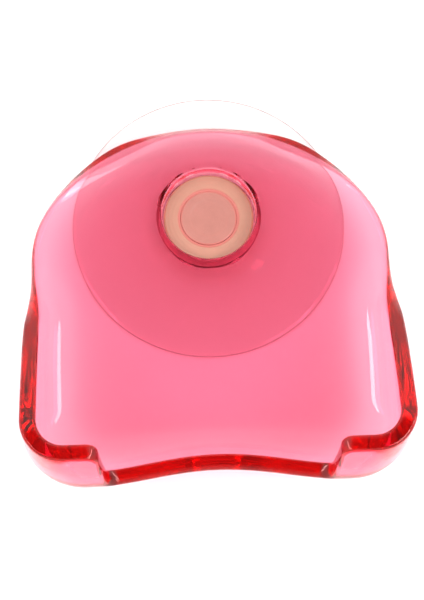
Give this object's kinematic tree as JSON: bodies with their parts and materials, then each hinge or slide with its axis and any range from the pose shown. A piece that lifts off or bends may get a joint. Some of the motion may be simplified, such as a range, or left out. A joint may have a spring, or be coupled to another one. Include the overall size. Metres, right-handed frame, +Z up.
{
  "type": "suction-base dappen dish",
  "caption": "Tinted transparent D-shaped dish with raised side walls, a notched front and a low back rim, held on a clear suction cup by a snap stud it swivels on.",
  "frame": {"origin": "centre of the footprint's bounding box, on the plane the suction cup's rim rests on; the cup's axis stands on +Y at y = 12.65 mm", "axes": "+Z up, square to the resting plane and along the cup's axis; +Y towards the low back rim; -Y towards the notched front; +X to the right seen from the front"},
  "size_m": [0.0674, 0.0754, 0.027],
  "materials": {
    "tinted_acrylic": "polished transparent pink moulded acrylic, deep red where seen edge-on",
    "clear_pvc": "clear soft glossy PVC",
    "stud_plastic": "satin beige plastic",
    "plug_plastic": "satin beige plastic"
  },
  "bodies": {
    "cup": {"suction_cup": "clear_pvc"},
    "stud": {"swivel_stud": "stud_plastic", "centre_plug": "plug_plastic"},
    "dish": {"dish_shell": "tinted_acrylic"}
  },
  "joints": [
    {"name": "cup_press", "type": "slide", "parent": "cup", "child": "stud", "axis": [0, 0, 1], "range_m": [-0.0016, 0], "deforming": ["suction_cup"]},
    {"name": "dish_swivel", "type": "hinge", "parent": "stud", "child": "dish", "pos_m": [0, 0.01265, 0.004], "axis": [0, 0, 1], "continuous": true}
  ]
}
